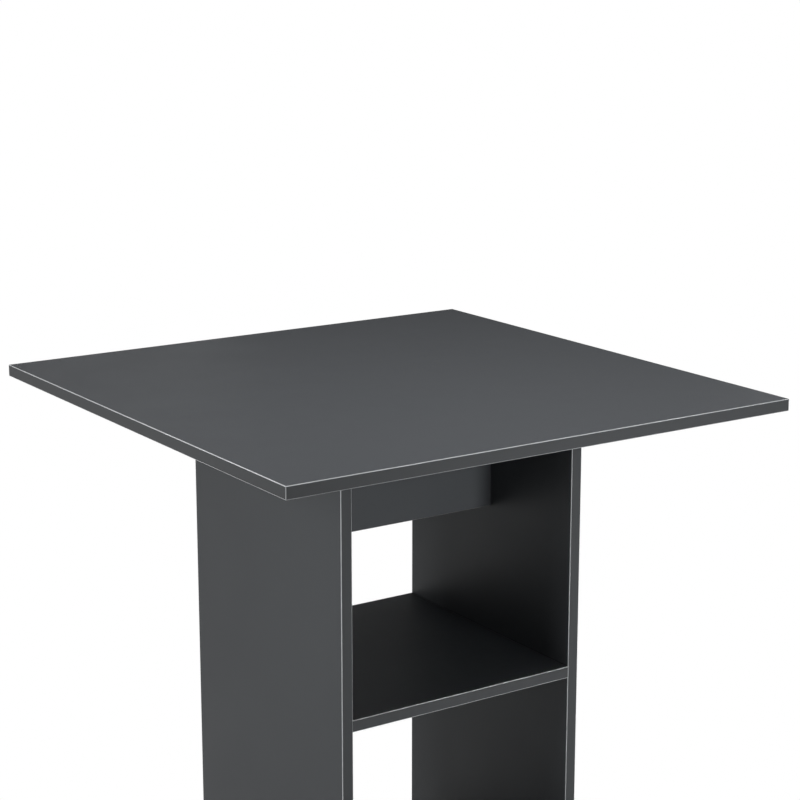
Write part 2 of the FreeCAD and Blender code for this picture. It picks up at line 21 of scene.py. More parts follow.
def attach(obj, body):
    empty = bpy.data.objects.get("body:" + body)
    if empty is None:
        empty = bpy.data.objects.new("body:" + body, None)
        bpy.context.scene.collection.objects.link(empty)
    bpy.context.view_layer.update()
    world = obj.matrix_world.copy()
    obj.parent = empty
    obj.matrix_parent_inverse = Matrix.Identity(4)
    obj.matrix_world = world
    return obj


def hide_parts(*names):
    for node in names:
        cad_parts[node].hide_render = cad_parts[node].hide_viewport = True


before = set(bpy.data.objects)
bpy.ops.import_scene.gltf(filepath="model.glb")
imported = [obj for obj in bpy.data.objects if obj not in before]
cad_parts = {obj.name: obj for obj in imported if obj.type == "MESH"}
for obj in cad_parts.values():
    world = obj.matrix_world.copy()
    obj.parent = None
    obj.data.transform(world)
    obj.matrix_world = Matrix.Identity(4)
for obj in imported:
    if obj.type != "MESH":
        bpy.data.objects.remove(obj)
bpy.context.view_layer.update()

BODY = "root"
MM = 0.001
# Vertices nearer to each other than this are joined.
WELD_MM = 0.005
FULL_TURN = math.tau
HALF_TURN = math.pi
QUARTER_TURN = math.pi / 2
# Faces that meet at less than this are shaded as one curve.
SMOOTH_BELOW = math.radians(35)
# Most of a noise lies between these.
NOISE_LOW, NOISE_HIGH = 0.3, 0.7

log = logging.getLogger("bar_table")

Socket = bpy.types.NodeSocket
Node = bpy.types.Node


class Axis(Enum):
    """An axis of the row frame, and its place in a vector."""

    X = 0
    Y = 1
    Z = 2

    def vector(self) -> Vector:
        """The unit vector along this axis."""
        return Vector([float(axis is self) for axis in Axis])

    def stretched(self, times: float) -> tuple[float, ...]:
        """How many times longer something is along each axis, if it is drawn out along this one."""
        return tuple(times if axis is self else 1.0 for axis in Axis)


def linear(colour: str) -> tuple[float, float, float, float]:
    """Turns an sRGB hex colour to the linear one that shaders read.

    Args:
        colour: Six hex digits after a number sign.

    Returns:
        Red, green, blue and an alpha of 1.
    """
    channels = [int(colour[place : place + 2], 16) / 255 for place in (1, 3, 5)]
    # The sRGB standard's own curve.
    red, green, blue = (c / 12.92 if c <= 0.04045 else ((c + 0.055) / 1.055) ** 2.4 for c in channels)
    return red, green, blue, 1.0


WHITE = linear("#ffffff")


def add_node(
    tree: bpy.types.NodeTree,
    kind: str,
    settings: Mapping[str, object] | None = None,
    inputs: Mapping[str | int, object] | None = None,
) -> Node:
    """Adds a node with its settings and links.

    Args:
        tree: The tree that gets the node.
        kind: Blender's name for the kind of node.
        settings: Values of the node's own properties.
        inputs: What each input gets, by name or number: a value, or the output that it is linked from.

    Returns:
        The new node.
    """
    node = tree.nodes.new(kind)
    for name, value in (settings or {}).items():
        setattr(node, name, value)
    for name, value in (inputs or {}).items():
        if isinstance(value, Socket):
            tree.links.new(value, node.inputs[name])
        else:
            node.inputs[name].default_value = value
    return node


# Finishes


class Finish:
    """A surface finish. Each kind fills in what its material's one shader gets."""

    name: str

    def shader_inputs(self, tree: bpy.types.NodeTree, place: Socket) -> dict[str, object]:
        """What the shader's inputs get.

        Args:
            tree: The material's node tree.
            place: The place on the object, in metres in the row frame.

        Returns:
            A value or an output socket for each input.
        """
        raise NotImplementedError

    def material(self) -> bpy.types.Material:
        """Makes the material.

        Returns:
            The new material, with one Principled shader.
        """
        made = bpy.data.materials.new(self.name)
        made.use_nodes = True
        tree = made.node_tree
        tree.nodes.clear()
        place = add_node(tree, "ShaderNodeTexCoord").outputs["Object"]
        shader = add_node(tree, "ShaderNodeBsdfPrincipled", {}, self.shader_inputs(tree, place))
        add_node(tree, "ShaderNodeOutputMaterial", {}, {"Surface": shader.outputs["BSDF"]})
        return made


def calculate(tree: bpy.types.NodeTree, operation: str, *operands: object) -> Socket:
    """The result of one sum.

    Args:
        tree: The material's node tree.
        operation: Blender's name for the operation.
        operands: The numbers or sockets that it works on.

    Returns:
        The result.
    """
    return add_node(tree, "ShaderNodeMath", {"operation": operation}, dict(enumerate(operands))).outputs[0]


def mix_numbers(tree: bpy.types.NodeTree, share: object, first: object, second: object) -> Socket:
    """The number between two numbers.

    Args:
        tree: The material's node tree.
        share: The second number's share, a number or a socket.
        first: A number or a socket.
        second: A number or a socket.

    Returns:
        The mixed number.
    """
    # Among a Mix node's inputs, 2 and 3 take numbers.
    return add_node(tree, "ShaderNodeMix", {"data_type": "FLOAT"}, {0: share, 2: first, 3: second}).outputs[0]


def mix_colours(tree: bpy.types.NodeTree, share: object, first: object, second: object) -> Socket:
    """The colour between two colours.

    Args:
        tree: The material's node tree.
        share: The second colour's share, a number or a socket.
        first: A hex colour or a socket.
        second: A hex colour or a socket.

    Returns:
        The mixed colour.
    """
    first, second = (linear(end) if isinstance(end, str) else end for end in (first, second))
    # Among a Mix node's inputs, 6 and 7 take colours, and its output 2 gives one.
    return add_node(tree, "ShaderNodeMix", {"data_type": "RGBA"}, {0: share, 6: first, 7: second}).outputs[2]


def ramp(
    tree: bpy.types.NodeTree,
    value: Socket,
    start: tuple[float, float],
    end: tuple[float, float],
    smooth: bool = False,
) -> Socket:
    """A number that runs from one value to another and stays level beyond them.

    Args:
        tree: The material's node tree.
        value: What it follows.
        start: Where the ramp starts, and the number there.
        end: Where it ends, and the number there.
        smooth: True if it eases in and out.

    Returns:
        The number.
    """
    kind = "SMOOTHSTEP" if smooth else "LINEAR"
    ends = {"From Min": start[0], "From Max": end[0], "To Min": start[1], "To Max": end[1]}
    settings = {"interpolation_type": kind}
    return add_node(tree, "ShaderNodeMapRange", settings, {"Value": value, **ends}).outputs[0]


def vary(tree: bpy.types.NodeTree, grain: Socket, middle: float, spread: float) -> Socket:
    """A number that goes up and down with a noise.

    Args:
        tree: The material's node tree.
        grain: The noise.
        middle: The number's middle.
        spread: How far it mostly goes from there.

    Returns:
        The number.
    """
    return ramp(tree, grain, (NOISE_LOW, middle - spread), (NOISE_HIGH, middle + spread))


def in_sizes(tree: bpy.types.NodeTree, place: Socket, sizes_mm: Iterable[float]) -> Socket:
    """Counts a place in a pattern's own sizes, so that the pattern comes out that large.

    Args:
        tree: The material's node tree.
        place: The place on the object, in metres.
        sizes_mm: The pattern's size along each axis.

    Returns:
        The place in these sizes.
    """
    scale = [1 / (size * MM) for size in sizes_mm]
    return add_node(tree, "ShaderNodeMapping", {}, {"Vector": place, "Scale": scale}).outputs[0]


def noise(
    tree: bpy.types.NodeTree,
    place: Socket,
    grain_mm: float,
    detail: float,
    stretch: tuple[float, ...] = (1.0, 1.0, 1.0),
) -> Socket:
    """Noise of a real size, mostly between NOISE_LOW and NOISE_HIGH.

    Args:
        tree: The material's node tree.
        place: The place on the object, in metres.
        grain_mm: The size of its largest patches.
        detail: How many finer layers it has.
        stretch: How many times longer the patches are along each axis.

    Returns:
        The noise.
    """
    sized = in_sizes(tree, place, (grain_mm * times for times in stretch))
    made = add_node(tree, "ShaderNodeTexNoise", {}, {"Vector": sized, "Scale": 1.0, "Detail": detail})
    return made.outputs["Fac"]


def relief(tree: bpy.types.NodeTree, shape: Socket, height_mm: object) -> Socket:
    """The normal of an uneven surface.

    Args:
        tree: The material's node tree.
        shape: The unevenness, from 0 to 1.
        height_mm: How high its top is, a number or a socket.

    Returns:
        The normal.
    """
    height = calculate(tree, "MULTIPLY", shape, height_mm)
    bump = add_node(tree, "ShaderNodeBump", {}, {"Height": height, "Strength": 1.0, "Distance": MM})
    return bump.outputs["Normal"]


@dataclass(frozen=True)
class Slab:
    """Two parallel faces of a board, and the board between them."""

    axis: Axis
    lower_mm: float
    upper_mm: float

    def depth(self, tree: bpy.types.NodeTree, place: Socket) -> Socket:
        """How far a place lies behind the nearer face.

        Args:
            tree: The material's node tree.
            place: The place on the object, in metres.

        Returns:
            The depth in millimetres.
        """
        split = add_node(tree, "ShaderNodeSeparateXYZ", {}, {0: place})
        millimetres = calculate(tree, "DIVIDE", split.outputs[self.axis.value], MM)
        offset = calculate(tree, "SUBTRACT", millimetres, (self.lower_mm + self.upper_mm) / 2)
        distance = calculate(tree, "ABSOLUTE", offset)
        return calculate(tree, "SUBTRACT", (self.upper_mm - self.lower_mm) / 2, distance)


@dataclass(frozen=True)
class MelamineBoard(Finish):
    """Chipboard faced on both sides with melamine paper that was pressed against a finely pearled plate.

    The faces are a satin anthracite with a barely visible pearl. Where a board is cut or drilled, pale chips
    show between two thin dark lines of paper.
    """

    name: str
    faces: Slab
    tone: str = "#4a4d50"
    cloud_tone: str = "#4d4f52"
    cloud_mm: float = 90.0
    cloud_detail: float = 3.0
    roughness: float = 0.45
    roughness_spread: float = 0.02
    specular: float = 0.14
    # The plate's pearls are about 0.4 mm across and 0.04 mm high. They are drawn three times as large, so
    # that a close view can show them.
    pearl_mm: float = 1.2
    pearl_detail: float = 1.0
    pearl_height_mm: float = 0.12
    paper_mm: float = 0.15
    # Pressing lays the chips flat, so they are longer along the faces than from one face to the other.
    chip_mm: float = 3.2
    chip_thickness_mm: float = 1.1
    chip_height_mm: float = 0.2
    chip_pale: str = "#d3ba90"
    chip_dark: str = "#97764d"
    chip_roughness: float = 0.9

    def shader_inputs(self, tree: bpy.types.NodeTree, place: Socket) -> dict[str, object]:
        """Melamine on the two faces, chips between them.

        Args:
            tree: The material's node tree.
            place: The place on the object, in metres in the row frame.

        Returns:
            A value or an output socket for each input.
        """
        is_core = calculate(tree, "GREATER_THAN", self.faces.depth(tree, place), self.paper_mm)
        clouds = noise(tree, place, self.cloud_mm, self.cloud_detail)
        pearls = noise(tree, place, self.pearl_mm, self.pearl_detail)
        sizes = (self.chip_thickness_mm if axis is self.faces.axis else self.chip_mm for axis in Axis)
        flat = in_sizes(tree, place, sizes)
        chips = add_node(tree, "ShaderNodeTexVoronoi", {}, {"Vector": flat, "Scale": 1.0})
        chip_shade = add_node(tree, "ShaderNodeSeparateColor", {}, {0: chips.outputs["Color"]}).outputs[0]
        face = mix_colours(tree, clouds, self.tone, self.cloud_tone)
        core = mix_colours(tree, chip_shade, self.chip_dark, self.chip_pale)
        satin = vary(tree, clouds, self.roughness, self.roughness_spread)
        shape = mix_numbers(tree, is_core, pearls, chips.outputs["Distance"])
        height = mix_numbers(tree, is_core, self.pearl_height_mm, self.chip_height_mm)
        return {
            "Base Color": mix_colours(tree, is_core, face, core),
            "Roughness": mix_numbers(tree, is_core, satin, self.chip_roughness),
            "Normal": relief(tree, shape, height),
            "Specular IOR Level": self.specular,
        }


class ScrapeAndHighlight(Enum):
    """The tone of a band's round arrises: partly the paler plastic that a scraper blade leaves, partly a
    painted highlight.

    Opposite edges share a tone, set for how bright their painted highlight is.
    """

    # These tones are partly scraping and partly painted highlight, brightest where the light catches the
    # arris most.
    FAINT = "#767879"
    LIGHT = "#b4b6b8"
    PLAIN = "#ccced0"
    DEEP = "#e0e2e4"


@dataclass(frozen=True)
class EdgeBand(Finish):
    """ABS edge band, extruded in the board's colour, glued on, and its arrises milled round and worked with a
    scraper blade.

    The flat is as satin as the board, with faint lines of the extruder's die. Scraping stretches the plastic,
    which turns paler and smoother. The pale tone painted there is partly that and partly a painted highlight,
    so every edge carries a thin bright line. Behind it a hair of dark glue parts the band from the board.
    """

    name: str
    # The faces that the band's own faces lie in, its flat's first. It is round where two of them meet.
    faces: tuple[Slab, ...]
    run_axis: Axis
    scrape_and_highlight: ScrapeAndHighlight
    radius_mm: float = 0.9
    # On an arc the depths behind its two faces add up to 0.59 of the radius at its middle and to all of it at
    # its ends. The pale arris tone, partly scraping and partly painted highlight, begins and is full where
    # they add up to these shares of the radius.
    scrape_highlight_begins: float = 0.97
    scrape_highlight_full: float = 0.75
    glue_depth_mm: float = 0.95
    tone: str = "#4b4d4f"
    glue_tone: str = "#2a2b2c"
    roughness: float = 0.45
    scraped_roughness: float = 0.3
    specular: float = 0.14
    die_line_mm: float = 0.35
    die_line_detail: float = 2.0
    die_line_stretch: float = 60.0
    die_line_height_mm: float = 0.003

    def shader_inputs(self, tree: bpy.types.NodeTree, place: Socket) -> dict[str, object]:
        """Die lines along the band, the pale arris tone with its painted highlight where its arrises are
        round, and the glue.

        Args:
            tree: The material's node tree.
            place: The place on the object, in metres in the row frame.

        Returns:
            A value or an output socket for each input.
        """
        depths = [slab.depth(tree, place) for slab in self.faces]
        sums = [calculate(tree, "ADD", *pair) for pair in itertools.combinations(depths, 2)]
        nearest = functools.reduce(lambda first, second: calculate(tree, "MINIMUM", first, second), sums)
        begins, full = self.scrape_highlight_begins * self.radius_mm, self.scrape_highlight_full * self.radius_mm
        # The pale arris tone is partly scraping and partly a painted highlight.
        scrape_and_highlight_share = ramp(tree, nearest, (begins, 0.0), (full, 1.0), smooth=True)
        is_glue = calculate(tree, "GREATER_THAN", depths[0], self.glue_depth_mm)
        stretch = self.run_axis.stretched(self.die_line_stretch)
        lines = noise(tree, place, self.die_line_mm, self.die_line_detail, stretch)
        plastic = mix_colours(tree, scrape_and_highlight_share, self.tone, self.scrape_and_highlight.value)
        return {
            "Base Color": mix_colours(tree, is_glue, plastic, self.glue_tone),
            "Roughness": mix_numbers(tree, scrape_and_highlight_share, self.roughness, self.scraped_roughness),
            "Normal": relief(tree, lines, self.die_line_height_mm),
            "Specular IOR Level": self.specular,
        }


@dataclass(frozen=True)
class SpeckledSurface(Finish):
    """A surface of one colour whose grain shows as small steps in tone, gloss and height."""

    name: str
    tone: str
    grain_tone: str
    roughness: float
    roughness_spread: float
    grain_mm: float
    grain_height_mm: float
    metallic: float = 0.0
    grain_stretch: tuple[float, ...] = (1.0, 1.0, 1.0)
    grain_detail: float = 3.0

    def shader_inputs(self, tree: bpy.types.NodeTree, place: Socket) -> dict[str, object]:
        """One noise drives tone, gloss and height together.

        Args:
            tree: The material's node tree.
            place: The place on the object, in metres in the row frame.

        Returns:
            A value or an output socket for each input.
        """
        grain = noise(tree, place, self.grain_mm, self.grain_detail, self.grain_stretch)
        return {
            "Base Color": mix_colours(tree, grain, self.tone, self.grain_tone),
            "Metallic": self.metallic,
            "Roughness": vary(tree, grain, self.roughness, self.roughness_spread),
            "Normal": relief(tree, grain, self.grain_height_mm),
        }


# Zinc die casting: a cool, fairly dull metal with the soft orange-peel skin of the mould.
CAST_ZINC = SpeckledSurface(
    "zinc_die_casting", "#9a9c9e", "#b4b6b8", 0.48, 0.08, 0.8, 0.02, metallic=1.0
)
# Steel wire, cold headed and rolled, then zinc plated: brighter and bluer than the casting.
PLATED_STEEL = SpeckledSurface(
    "zinc_plated_steel", "#b4b8bc", "#cfd3d8", 0.3, 0.06, 0.5, 0.004, metallic=1.0
)
# Drawn steel wire: bright, with fine draw marks along it.
NAIL_STEEL = SpeckledSurface(
    "drawn_steel_wire",
    "#a9abad",
    "#c3c5c7",
    0.34,
    0.06,
    0.25,
    0.004,
    metallic=1.0,
    grain_stretch=Axis.Z.stretched(12.0),
)
# Injection moulded polyethylene, spark-eroded mould: a matt, slightly waxy dark grey.
MOULDED_CAP = SpeckledSurface("moulded_cap_plastic", "#3f4143", "#46484a", 0.5, 0.05, 0.25, 0.006)
# Moulded polyethylene of the glides: black and a little rubbed.
MOULDED_GLIDE = SpeckledSurface("moulded_glide_plastic", "#1f2021", "#292a2b", 0.52, 0.07, 0.4, 0.008)


@dataclass(frozen=True)
class BeechDowel(Finish):
    """Turned and pressed beech: pale pinkish wood with short darker flecks along the grain."""

    name: str
    grain_axis: Axis
    tone: str = "#cfa274"
    late_tone: str = "#b98a5d"
    fleck_tone: str = "#8f6540"
    grain_mm: float = 0.5
    grain_detail: float = 3.0
    grain_stretch: float = 14.0
    fleck_mm: float = 0.35
    fleck_stretch: float = 6.0
    # Where their noise is above these, flecks begin and are full.
    fleck_begins: float = 0.6
    fleck_full: float = 0.68
    roughness: float = 0.62
    grain_height_mm: float = 0.02

    def shader_inputs(self, tree: bpy.types.NodeTree, place: Socket) -> dict[str, object]:
        """Grain drawn out along the dowel, with flecks over it.

        Args:
            tree: The material's node tree.
            place: The place on the object, in metres in the row frame.

        Returns:
            A value or an output socket for each input.
        """
        grain, flecks = (
            noise(tree, place, size, self.grain_detail, self.grain_axis.stretched(times))
            for size, times in ((self.grain_mm, self.grain_stretch), (self.fleck_mm, self.fleck_stretch))
        )
        wood = mix_colours(tree, grain, self.tone, self.late_tone)
        is_fleck = ramp(tree, flecks, (self.fleck_begins, 0.0), (self.fleck_full, 1.0))
        return {
            "Base Color": mix_colours(tree, is_fleck, wood, self.fleck_tone),
            "Roughness": self.roughness,
            "Normal": relief(tree, grain, self.grain_height_mm),
        }


# Carrying finishes and pieces


def dress(node: str, finish: Finish) -> None:
    """Gives a CAD node its finish.

    Args:
        node: The node's name.
        finish: What its surface is.
    """
    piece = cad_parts[node]
    material = finish.material()
    for slot in piece.material_slots:
        slot.material = material
    log.info("%s is finished as %s", node, finish.name)


def place_piece(mesh: bmesh.types.BMesh, name: str, node: str, finish: Finish) -> None:
    """Makes an object of a finished mesh, which then stands for a CAD node.

    Args:
        mesh: The mesh, in metres in the row frame. It is freed here.
        name: The new piece's name.
        node: The CAD node that it replaces.
        finish: What its surface is.
    """
    bmesh.ops.remove_doubles(mesh, verts=mesh.verts[:], dist=WELD_MM * MM)
    bmesh.ops.recalc_face_normals(mesh, faces=mesh.faces[:])
    for face in mesh.faces:
        face.smooth = True
    for edge in mesh.edges:
        edge.smooth = edge.calc_face_angle(0.0) < SMOOTH_BELOW
    data = bpy.data.meshes.new(name)
    mesh.to_mesh(data)
    mesh.free()
    data.materials.append(finish.material())
    piece = bpy.data.objects.new(name, data)
    bpy.context.scene.collection.objects.link(piece)
    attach(piece, BODY)
    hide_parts(node)
    log.info("%s has %d faces and stands for %s", name, len(data.polygons), node)


def turn(
    mesh: bmesh.types.BMesh,
    profile: Iterable[tuple[float, float]],
    at: Matrix,
    steps: int,
    closed: bool = False,
) -> None:
    """Turns a profile about the X axis of a place.

    Args:
        mesh: The mesh that gets the turned shape.
        profile: Points as a distance along the axis and a radius, in millimetres.
        at: The place and direction in the row frame.
        steps: How many faces go round.
        closed: True if the last point joins the first, as in a ring.
    """
    verts = [mesh.verts.new((along * MM, radius * MM, 0.0)) for along, radius in profile]
    edges = [mesh.edges.new(pair) for pair in zip(verts, verts[1:])]
    if closed:
        edges.append(mesh.edges.new((verts[-1], verts[0])))
    before = {vert for vert in mesh.verts if vert not in verts}
    bmesh.ops.spin(
        mesh,
        geom=verts + edges,
        cent=(0.0, 0.0, 0.0),
        axis=(1.0, 0.0, 0.0),
        angle=FULL_TURN,
        steps=steps,
        use_merge=True,
    )
    made = [vert for vert in mesh.verts if vert not in before]
    bmesh.ops.transform(mesh, matrix=at, verts=made)


def rounded_rim(low_mm: float, radius_mm: float, rounding_mm: float, steps: int) -> list[tuple[float, float]]:
    """The part of a profile that leads round from an end face to the wall.

    Args:
        low_mm: Where the end face is along the axis.
        radius_mm: The wall's radius.
        rounding_mm: The radius of the quarter circle between them.
        steps: How many lines follow that quarter circle.

    Returns:
        Points as a distance along the axis and a radius, in millimetres.
    """
    angles = [step / steps * QUARTER_TURN for step in range(steps + 1)]
    return [
        (low_mm + rounding_mm * (1 - math.cos(angle)), radius_mm - rounding_mm * (1 - math.sin(angle)))
        for angle in angles
    ]


# Fittings of the joints


@dataclass(frozen=True)
class Joint:
    """The end or ends of a board, where cams, bolts, dowels and caps sit in rows.

    The board's own X runs to the jointed end, its Y across the rows, and its lower face holds the cams.
    """

    name: str
    board_x: Vector
    board_y: Vector
    centre_mm: tuple[float, float, float]
    reach_mm: float
    cam_row_mm: float
    dowel_row_mm: float
    both_ends: bool

    def places(self, row_mm: float) -> list[Matrix]:
        """The places of one kind of fitting.

        Args:
            row_mm: How far the rows are from the board's middle, or 0 for one row there.

        Returns:
            A matrix for each, whose origin is on the board's end and whose X points out of it.
        """
        board = Matrix((self.board_x, self.board_y, self.board_x.cross(self.board_y))).transposed().to_4x4()
        board = Matrix.Translation(Vector(self.centre_mm) * MM) @ board
        turns = [Matrix.Identity(4)]
        if self.both_ends:
            turns.append(Matrix.Rotation(HALF_TURN, 4, "Z"))
        rows = (row_mm, -row_mm) if row_mm else (0.0,)
        return [
            board @ end @ Matrix.Translation(Vector((self.reach_mm, row, 0.0)) * MM)
            for end in turns
            for row in rows
        ]


@dataclass(frozen=True)
class CamBolt:
    """A cold headed steel bolt with a rolled thread, a collar that rests on the board and a waisted neck."""

    head_nose_mm: float = -34.96
    head_back_mm: float = -31.76
    head_radius_mm: float = 3.25
    head_chamfer_mm: float = 0.8
    neck_radius_mm: float = 1.9
    neck_end_mm: float = -26.1
    shank_radius_mm: float = 3.0
    collar_back_mm: float = -1.5
    collar_radius_mm: float = 3.8
    core_radius_mm: float = 2.2
    crest_radius_mm: float = 3.0
    thread_length_mm: float = 10.0
    tip_mm: float = 1.4
    pitch_mm: float = 2.0
    ridge_mm: float = 1.3
    # The ridge is rooted this deep in the core, so that no gap opens between them.
    root_mm: float = 0.1
    steps: int = 24
    recess_radius_mm: float = 1.5
    recess_depth_mm: float = 1.3
    recess_floor_radius_mm: float = 0.7

    def build(self, mesh: bmesh.types.BMesh, at: Matrix) -> None:
        """Adds one bolt.

        Args:
            mesh: The mesh that gets it.
            at: The bolt's place, its thread pointing along X.
        """
        head_edge = self.head_nose_mm + self.head_chamfer_mm
        core_end = self.thread_length_mm - self.tip_mm
        profile = (
            (self.head_nose_mm + self.recess_depth_mm, 0.0),
            (self.head_nose_mm + self.recess_depth_mm, self.recess_floor_radius_mm),
            (self.head_nose_mm, self.recess_radius_mm),
            (self.head_nose_mm, self.head_radius_mm - self.head_chamfer_mm),
            (head_edge, self.head_radius_mm),
            (self.head_back_mm, self.head_radius_mm),
            (self.head_back_mm, self.neck_radius_mm),
            (self.neck_end_mm, self.neck_radius_mm),
            (self.neck_end_mm, self.shank_radius_mm),
            (self.collar_back_mm, self.shank_radius_mm),
            (self.collar_back_mm, self.collar_radius_mm),
            (0.0, self.collar_radius_mm),
            (0.0, self.core_radius_mm),
            (core_end, self.core_radius_mm),
            (self.thread_length_mm, 0.0),
        )
        turn(mesh, profile, at, self.steps)
        self.build_thread(mesh, at)

    def build_thread(self, mesh: bmesh.types.BMesh, at: Matrix) -> None:
        """Winds the thread's ridge round the core.

        Args:
            mesh: The mesh that gets it.
            at: The bolt's place.
        """
        before = set(mesh.verts)
        root = self.core_radius_mm - self.root_mm
        section = ((0.0, root), (self.ridge_mm / 2, self.crest_radius_mm), (self.ridge_mm, root))
        verts = [mesh.verts.new((along * MM, radius * MM, 0.0)) for along, radius in section]
        first = mesh.faces.new(verts)
        turns = (self.thread_length_mm - self.tip_mm - self.ridge_mm) / self.pitch_mm
        steps = round(turns * self.steps)
        bmesh.ops.spin(
            mesh,
            geom=[first, *first.edges, *verts],
            cent=(0.0, 0.0, 0.0),
            axis=(1.0, 0.0, 0.0),
            dvec=(self.pitch_mm * MM / self.steps, 0.0, 0.0),
            angle=steps * FULL_TURN / self.steps,
            steps=steps,
        )
        made = [vert for vert in mesh.verts if vert not in before]
        bmesh.ops.transform(mesh, matrix=at, verts=made)


@dataclass(frozen=True)
class FlutedDowel:
    """A beech dowel with pressed flutes for the glue and a chamfer at each end."""

    in_edge_mm: float = 20.0
    in_face_mm: float = 10.0
    radius_mm: float = 4.0
    chamfer_mm: float = 1.0
    flutes: int = 16
    flute_mm: float = 0.35
    points_per_flute: int = 3

    def build(self, mesh: bmesh.types.BMesh, at: Matrix) -> None:
        """Adds one dowel.

        Args:
            mesh: The mesh that gets it.
            at: The dowel's place, its short end pointing along X.
        """
        before = set(mesh.verts)
        across = Matrix.Translation((-self.in_edge_mm * MM, 0.0, 0.0)) @ Matrix.Rotation(QUARTER_TURN, 4, "Y")
        ring = bmesh.ops.create_circle(
            mesh,
            cap_ends=True,
            segments=self.flutes * self.points_per_flute,
            radius=self.radius_mm * MM,
            matrix=across,
        )["verts"]
        grooves = ring[:: self.points_per_flute]
        axis = Vector((-self.in_edge_mm * MM, 0.0, 0.0))
        self.scale(mesh, grooves, 1 - self.flute_mm / self.radius_mm, axis)
        narrow = 1 - self.chamfer_mm / self.radius_mm
        end = next(iter(ring[0].link_faces))
        self.scale(mesh, ring, narrow, axis)
        for length, growth in (
            (self.chamfer_mm, 1 / narrow),
            (self.in_edge_mm + self.in_face_mm - 2 * self.chamfer_mm, 1.0),
            (self.chamfer_mm, narrow),
        ):
            made = bmesh.ops.extrude_face_region(mesh, geom=[end])
            verts = [item for item in made["geom"] if isinstance(item, bmesh.types.BMVert)]
            end = next(item for item in made["geom"] if isinstance(item, bmesh.types.BMFace))
            bmesh.ops.translate(mesh, verts=verts, vec=(length * MM, 0.0, 0.0))
            self.scale(mesh, verts, growth, Vector((0.0, 0.0, 0.0)))
        made = [vert for vert in mesh.verts if vert not in before]
        bmesh.ops.transform(mesh, matrix=at, verts=made)

    @staticmethod
    def scale(
        mesh: bmesh.types.BMesh, verts: list[bmesh.types.BMVert], growth: float, centre: Vector
    ) -> None:
        """Scales a ring about the dowel's axis, and leaves its place along the axis."""
        bmesh.ops.scale(mesh, verts=verts, vec=(1.0, growth, growth), space=Matrix.Translation(-centre))


@dataclass(frozen=True)
class CoverCap:
    """A thin moulded cap on a cam, with a rounded rim, a dished face and a peg in the cam's driver."""

    backset_mm: float = 34.0
    face_mm: float = 7.5
    radius_mm: float = 8.5
    thickness_mm: float = 0.8
    rim_mm: float = 0.4
    dish_mm: float = 0.12
    dish_radius_mm: float = 7.4
    dish_slope_mm: float = 0.4
    gate_radius_mm: float = 0.6
    gate_top_radius_mm: float = 0.36
    gate_mm: float = 0.15
    peg_radius_mm: float = 1.5
    peg_mm: float = 2.0
    peg_chamfer_mm: float = 0.2
    steps: int = 64
    rim_steps: int = 5

    def build(self, mesh: bmesh.types.BMesh, at: Matrix) -> None:
        """Adds one cap.

        Args:
            mesh: The mesh that gets it.
            at: The joint's place, on the end of the board.
        """
        low = -self.thickness_mm
        dished = low + self.dish_mm
        profile = (
            (dished + self.gate_mm, 0.0),
            (dished + self.gate_mm, self.gate_top_radius_mm),
            (dished, self.gate_radius_mm),
            (dished, self.dish_radius_mm - self.dish_slope_mm),
            (low, self.dish_radius_mm),
            *rounded_rim(low, self.radius_mm, self.rim_mm, self.rim_steps),
            (0.0, self.radius_mm),
            (0.0, self.peg_radius_mm),
            (self.peg_mm - self.peg_chamfer_mm, self.peg_radius_mm),
            (self.peg_mm, self.peg_radius_mm - self.peg_chamfer_mm),
            (self.peg_mm, 0.0),
        )
        # The profile's axis is the cam's, which points into the board.
        cam_axis = Matrix.Rotation(-QUARTER_TURN, 4, "Y")
        place = Matrix.Translation((-self.backset_mm * MM, 0.0, -self.face_mm * MM))
        turn(mesh, profile, at @ place @ cam_axis, self.steps)


@dataclass(frozen=True)
class JointFittings:
    """The fittings of one board's joints: cams as packed, and new bolts, dowels and caps."""

    joint: Joint
    bolt: CamBolt = CamBolt()
    dowel: FlutedDowel = FlutedDowel()
    cap: CoverCap = CoverCap()

    def build(self) -> None:
        """Makes the fittings and dresses the cams."""
        joint = self.joint
        dress(joint.name + "_cams", CAST_ZINC)
        grain = max(Axis, key=lambda axis: abs(joint.board_x[axis.value]))
        beech = BeechDowel("beech_" + joint.name, grain)
        for part, row, suffix, slot, finish in (
            (self.bolt, joint.cam_row_mm, "bolts", "bolt_steel", PLATED_STEEL),
            (self.dowel, joint.dowel_row_mm, "dowels", "dowel_beech", beech),
            (self.cap, joint.cam_row_mm, "cam_caps", "cap_plastic", MOULDED_CAP),
        ):
            mesh = bmesh.new()
            for at in joint.places(row):
                part.build(mesh, at)
            node = f"{joint.name}_{suffix}"
            place_piece(mesh, f"{node}_detailed", node, finish)


# Boards


@dataclass(frozen=True)
class Band:
    """One edge band: its node, the faces that its own lie in, its flat's first, its run, and its scraping and
    painted highlight.
    """

    node: str
    faces: tuple[Slab, ...]
    run_axis: Axis
    scrape_and_highlight: ScrapeAndHighlight = ScrapeAndHighlight.PLAIN


@dataclass(frozen=True)
class Board:
    """A melamine-faced board with its edge bands."""

    node: str
    faces: Slab
    bands: tuple[Band, ...]

    def dress(self) -> None:
        """Finishes the board and its bands."""
        dress(self.node, MelamineBoard("melamine_" + self.node, self.faces))
        for band in self.bands:
            finish = EdgeBand("abs_" + band.node, band.faces, band.run_axis, band.scrape_and_highlight)
            dress(band.node, finish)


